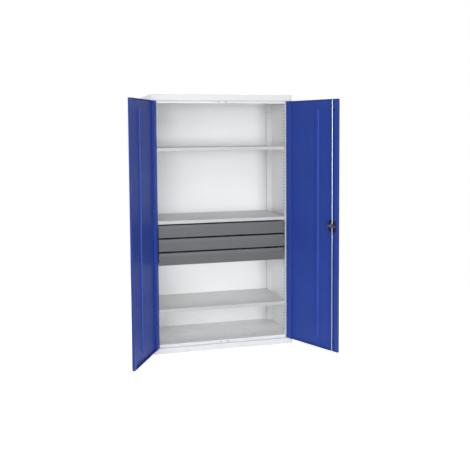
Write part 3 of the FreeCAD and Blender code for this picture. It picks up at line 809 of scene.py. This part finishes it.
@dataclass
class Carcass:
    """The welded body: panels, rails, jambs, uprights and what is fixed to them."""

    finishes: Finishes
    weld_inset: float = 0.012
    weld_pitch: float = 0.11
    skin: float = 0.0006

    def dress(self) -> None:
        """Gives the body's nodes their finishes."""
        sides = ("left", "right")
        names = ["top_panel", "back_panel", "floor_panel", "floor_support", "header_rail", "bottom_rail"]
        names += [f"{part}_{side}" for part in ("side_panel", "front_jamb") for side in sides]
        names.append("rod_strikes")
        count = self.finishes.dress_nodes(Slot.CABINET, names)
        count += self.dress_uprights("front") + self.dress_uprights("rear")
        count += self.finishes.dress_nodes(Slot.ZINC, ["pivot_pins"])
        count += self.finishes.dress_nodes(Slot.RUBBER, ["door_buffers"])
        log.info("carcass: %d nodes dressed", count)

    def dress_uprights(self, row: str) -> int:
        """Gives a pair of slotted uprights their paint, with painted shade on the faces inside the channels,
        behind the slots.

        Args:
            row: The pair, front or rear.

        Returns:
            How many nodes were dressed.
        """
        low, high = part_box(f"upright_{row}_right")
        hollow = Hollow(low[0] + self.skin, (low[1] + high[1]) / 2, (high[1] - low[1]) / 2 - self.skin)
        paint = FINISHES[Slot.CABINET].material(f"upright_{row}_paint", hollow=hollow)
        return self.finishes.dress_with(paint, [f"upright_{row}_{side}" for side in ("left", "right")])

    def add_back_welds(self) -> None:
        """Spot welds along the back's two upright edges, where it lies on the sides' flanges."""
        low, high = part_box("back_panel")
        mesh = bmesh.new()
        outward = Matrix.Rotation(-math.pi / 2, 4, "X")
        for across in (low[0] + self.weld_inset, high[0] - self.weld_inset):
            for up in spread(low[2] + self.weld_inset, high[2] - self.weld_inset, self.weld_pitch):
                WeldMark().add_to(mesh, Matrix.Translation((across, high[1], up)) @ outward)
        piece = finished("back_weld_marks", mesh)
        self.finishes.add(piece, Slot.CABINET, "cabinet")
        log.info("back weld marks: %d faces", len(piece.data.polygons))


@dataclass
class Shelving:
    """Three folded shelves on their clips."""

    finishes: Finishes
    count: int = 3

    def dress(self) -> None:
        """Gives the shelves and clips their finishes."""
        names = [f"shelf_{number}" for number in range(1, self.count + 1)]
        dressed = self.finishes.dress_nodes(Slot.SHELF, names)
        dressed += self.finishes.dress_nodes(Slot.ZINC, ["shelf_clips"])
        log.info("shelving: %d nodes dressed", dressed)


@dataclass
class Drawers:
    """Three drawers on telescopic runners."""

    finishes: Finishes
    count: int = 3

    def dress(self) -> None:
        """Gives the drawers and runners their finishes."""
        dressed = self.finishes.dress_nodes(
            Slot.ZINC, ["rail_carrier_left", "rail_carrier_right", "drawer_outer_rails"]
        )
        for number in range(1, self.count + 1):
            dressed += self.finishes.dress_nodes(
                Slot.DRAWER, [f"drawer_{number}_front", f"drawer_{number}_tray"]
            )
            dressed += self.finishes.dress_nodes(
                Slot.ZINC, [f"drawer_{number}_inner_rails", f"drawer_{number}_middle_rails"]
            )
        log.info("drawers: %d nodes dressed", dressed)


@dataclass
class Doors:
    """The two doors with their stiffeners and pivot blocks."""

    finishes: Finishes
    leaves: dict[str, Leaf]
    foot_inset: float = 0.0045
    foot_sheet: float = 0.001
    end_inset: float = 0.03
    weld_pitch: float = 0.145

    def dress(self) -> None:
        """Gives the doors their finishes, with a painted highlight on the stiffeners' flanks."""
        names = [f"door_{side}_panel" for side in self.leaves]
        dressed = self.finishes.dress_nodes(Slot.DOOR, names + ["door_left_stop_strip"])
        for side, leaf in self.leaves.items():
            # Each stiffener's flanks get a painted highlight, facing along the door's width.
            across = leaf.opened().to_3x3() @ Vector((1.0, 0.0, 0.0))
            paint = FINISHES[Slot.DOOR].material(f"door_{side}_stiffener_flank_highlight", flank_highlight_way=across)
            dressed += self.finishes.dress_with(paint, [f"door_{side}_stiffener"])
        blocks = [f"door_{side}_pivot_blocks" for side in ("left", "right")]
        dressed += self.finishes.dress_nodes(Slot.PLASTIC, blocks)
        log.info("doors: %d nodes dressed", dressed)

    def add_stiffener_welds(self) -> None:
        """Spot welds along both feet of each door's stiffener."""
        for side, leaf in self.leaves.items():
            low, high = leaf.span(f"door_{side}_stiffener")
            mesh = bmesh.new()
            for across in (low.x + self.foot_inset, high.x - self.foot_inset):
                for up in spread(low.z + self.end_inset, high.z - self.end_inset, self.weld_pitch):
                    WeldMark().add_to(mesh, leaf.at(across, low.y + self.foot_sheet, up))
            piece = finished(f"door_{side}_weld_marks", mesh)
            self.finishes.add(piece, Slot.DOOR, leaf.body)
            log.info("%s: %d faces", piece.name, len(piece.data.polygons))


@dataclass
class RodLock:
    """The lock on the right door: case, cam, rods, handle and key."""

    finishes: Finishes
    leaf: Leaf
    screw_inset: float = 0.0055
    # The rods' strong blue tint is a painted reflection of the blue door around them.
    rod_zinc_blue_reflection: BrightZinc = BrightZinc(colour=(0.4, 0.44, 0.6), shade=(0.32, 0.36, 0.5))
    cam_zinc: BrightZinc = BrightZinc(colour=(0.36, 0.37, 0.39), shade=(0.26, 0.27, 0.29), metal=0.8)

    def dress(self) -> None:
        """Gives the lock's nodes their finishes."""
        dressed = self.finishes.dress_nodes(
            Slot.PLASTIC, ["lock_case", "lock_shield", "handle_plate", "handle"]
        )
        dressed += self.finishes.dress_nodes(Slot.DOOR, ["rod_guides"])
        dressed += self.finishes.dress_with(self.rod_zinc_blue_reflection.material("rod_zinc_blue_reflection"), ["rod_upper", "rod_lower"])
        dressed += self.finishes.dress_with(self.cam_zinc.material("cam_zinc"), ["lock_cam"])
        dressed += self.finishes.dress_nodes(Slot.CHROME, ["key_plug"])
        log.info("rod lock: %d nodes dressed", dressed)

    def add_screws(self) -> None:
        """Four black cross-head screws in the corners of the lock's shield."""
        low, high = self.leaf.span("lock_shield")
        mesh = bmesh.new()
        for across in (low.x + self.screw_inset, high.x - self.screw_inset):
            for up in (low.z + self.screw_inset, high.z - self.screw_inset):
                Screw().add_to(mesh, self.leaf.at(across, high.y, up))
        piece = finished("lock_shield_screws", mesh)
        self.finishes.add(piece, Slot.PLASTIC, self.leaf.body)
        log.info("lock shield screws: %d faces", len(piece.data.polygons))


@dataclass(frozen=True)
class Lamp:
    """A square soft lamp.

    Attributes:
        name: The lamp's name.
        place: Where it hangs.
        aim: The point that it looks at.
        size: Its width and height.
        level: The share of the full light that it gives where it aims.
        mirrored: Whether gloss and metal show it.
    """

    name: str
    place: tuple[float, float, float]
    aim: tuple[float, float, float]
    size: float
    level: float
    mirrored: bool = True

    def hang(self) -> None:
        """Adds the lamp to the scene."""
        way = Vector(self.aim) - Vector(self.place)
        data = bpy.data.lights.new(self.name, "AREA")
        data.size = self.size
        data.energy = self.level * math.pi ** 2 * way.length_squared
        lamp = bpy.data.objects.new(self.name, data)
        lamp.location = self.place
        lamp.rotation_euler = way.to_track_quat("-Z", "Y").to_euler()
        lamp.visible_glossy = self.mirrored
        bpy.context.scene.collection.objects.link(lamp)


@dataclass(frozen=True)
class Fill:
    """A wide weak lamp under the ceiling of a compartment, which stands for light that walls pass on.

    Attributes:
        opening: The compartment's name among the record's openings.
        glow: The brightness of the lamp's face.
        cover: The share of the ceiling's width and depth that it fills.
    """

    opening: str
    glow: float
    cover: float = 0.92

    def hang(self) -> None:
        """Adds the lamp, unseen itself, over the compartment that the record states."""
        stated = frame["record"]["physics"]["openings"]
        box = next(row["box_m"] for row in stated if row["name"] == self.opening)
        low, high = (Vector(corner) for corner in box)
        data = bpy.data.lights.new(f"{self.opening}_fill", "AREA")
        data.shape = "RECTANGLE"
        data.size = (high.x - low.x) * self.cover
        data.size_y = (high.y - low.y) * self.cover
        data.energy = self.glow * math.pi * data.size * data.size_y
        lamp = bpy.data.objects.new(data.name, data)
        lamp.location = ((low.x + high.x) / 2, (low.y + high.y) / 2, high.z)
        lamp.visible_camera = False
        lamp.visible_glossy = False
        bpy.context.scene.collection.objects.link(lamp)


@dataclass
class Studio:
    """A plain pale floor, soft lamps and the photograph's camera.

    Attributes:
        lamps: The lamps round the cabinet.
        fills: The lamps in its compartments.
        world_level: The even light from all round.
        floor_half: Half of the floor's width.
        floor_colour: The floor's own grey.
        fade_near: Where the floor starts to fade into the background.
        fade_far: Where it has the background's white.
        floor_lift: What the floor adds to its own light, towards the camera alone.
        camera_place: The camera's place.
        camera_yaw: Its turn to the right, in degrees.
        camera_pitch: Its tilt up, in degrees.
        camera_roll: Its turn about its own axis, in degrees.
        focal_pixels: Its focal length, in pixels of the photograph.
        frame_pixels: The photograph's width and height.
        centre_row: The photograph's row that lies on the camera's axis.
        sensor: The width of the camera's sensor, in millimetres.
    """

    lamps: tuple[Lamp, ...] = (
        Lamp("front_left_lamp", (-2.9, -5.5, 1.5), (0.0, -0.2, 0.8), 2.4, 0.4),
        Lamp("front_right_lamp", (1.0, -6.2, 1.2), (0.0, -0.2, 0.8), 1.2, 0.28),
        Lamp("front_high_lamp", (-0.8, -5.2, 3.8), (0.0, -0.2, 0.8), 2.2, 0.22),
        Lamp("overhead_lamp", (0.0, 0.4, 6.6), (0.0, 0.0, 1.95), 3.0, 0.3, mirrored=False),
        Lamp("rear_left_lamp", (-4.4, 3.6, 2.6), (0.0, 0.2, 0.95), 2.6, 0.52, mirrored=False),
        Lamp("rear_right_lamp", (4.4, 3.6, 2.6), (0.0, 0.2, 0.95), 2.6, 0.52, mirrored=False),
    )
    fills: tuple[Fill, ...] = (
        Fill("compartment_1", 0.28),
        Fill("compartment_2", 0.4),
        Fill("compartment_3", 0.95),
        Fill("compartment_4", 0.35),
    )
    world_level: float = 0.12
    floor_half: float = 14.0
    floor_colour: float = 0.82
    fade_near: float = 1.5
    fade_far: float = 3.2
    floor_lift: float = 0.58
    camera_place: tuple[float, float, float] = (-1.3196, -5.4681, 1.6621)
    camera_yaw: float = 15.16
    camera_pitch: float = -4.0
    camera_roll: float = -0.4
    focal_pixels: float = 708.1
    frame_pixels: float = 470.0
    centre_row: float = 182.5
    sensor: float = 36.0

    def build(self) -> None:
        """Builds the floor, the light and the camera."""
        self.build_floor()
        self.build_world()
        for lamp in self.lamps + self.fills:
            lamp.hang()
        self.build_camera()
        log.info("studio: floor, world, %d lamps and camera", len(self.lamps + self.fills))

    @staticmethod
    def looked_at(shader: Shader) -> Socket:
        """Tells the rays that look at a surface from the light that bounces.

        Args:
            shader: The shader that asks.

        Returns:
            1 where a camera, glossy or transmission ray looks, and 0 elsewhere.
        """
        kinds = ("Camera", "Glossy", "Transmission")
        camera, glossy, through = (shader.node("LightPath", output=f"Is {kind} Ray") for kind in kinds)
        return (camera + glossy + through).at_most(1.0)

    def build_floor(self) -> None:
        """A wide floor that looks white to the camera and keeps the cabinet's shadow."""
        mesh = bmesh.new()
        bmesh.ops.create_grid(mesh, x_segments=1, y_segments=1, size=self.floor_half)
        floor = finished("studio_floor", mesh)
        shader = Shader.of_material("studio_floor")
        seen = self.looked_at(shader)
        far = shader.node("VectorMath", {"operation": "LENGTH"}, {0: shader.place()}, "Value")
        fade = shader.node("MapRange", {"interpolation_type": "SMOOTHSTEP"},
                           {"Value": far, "From Min": self.fade_near, "From Max": self.fade_far})
        base = shader.node("BsdfDiffuse", inputs={"Color": (self.floor_colour,) * 3 + (1.0,)})
        lift = shader.node("Emission", inputs={"Color": WHITE, "Strength": seen * self.floor_lift})
        near = shader.node("AddShader", inputs={0: base, 1: lift})
        level = seen.at_least(self.world_level)
        white = shader.node("Emission", inputs={"Color": WHITE, "Strength": level})
        faded = shader.node("MixShader", inputs={0: fade, 1: near, 2: white})
        floor.data.materials.append(shader.ended(faded))

    def build_world(self) -> None:
        """A white background to the camera and an even soft light to the cabinet."""
        world = bpy.data.worlds.new("studio")
        bpy.context.scene.world = world
        shader = Shader(world)
        level = self.looked_at(shader).at_least(self.world_level)
        light = shader.node("Background", inputs={"Color": WHITE, "Strength": level})
        shader.ended(light, "OutputWorld")

    def build_camera(self) -> None:
        """The camera looks a little down, and is shifted only as far as the photograph's framing needs."""
        data = bpy.data.cameras.new("camera")
        data.sensor_width = self.sensor
        data.lens = self.sensor * self.focal_pixels / self.frame_pixels
        data.shift_y = (self.centre_row - self.frame_pixels / 2) / self.frame_pixels
        camera = bpy.data.objects.new("camera", data)
        turns = ((-self.camera_yaw, "Z"), (90.0 + self.camera_pitch, "X"), (self.camera_roll, "Z"))
        turn = Matrix.Identity(4)
        for degrees, axis in turns:
            turn = turn @ Matrix.Rotation(math.radians(degrees), 4, axis)
        camera.matrix_world = Matrix.Translation(self.camera_place) @ turn
        bpy.context.scene.collection.objects.link(camera)
        bpy.context.scene.camera = camera


def main() -> None:
    """Builds and dresses the cabinet, and then the studio."""
    logging.basicConfig(level=logging.INFO, format="%(name)s: %(message)s")
    bpy.context.scene.view_settings.view_transform = "Standard"
    finishes = Finishes()
    leaves = {side: Leaf(f"door_{side}_hinge") for side in ("left", "right")}
    carcass = Carcass(finishes)
    carcass.dress()
    carcass.add_back_welds()
    Shelving(finishes).dress()
    Drawers(finishes).dress()
    doors = Doors(finishes, leaves)
    doors.dress()
    doors.add_stiffener_welds()
    lock = RodLock(finishes, leaves["right"])
    lock.dress()
    lock.add_screws()
    Studio().build()


if __name__ == "__main__":
    main()
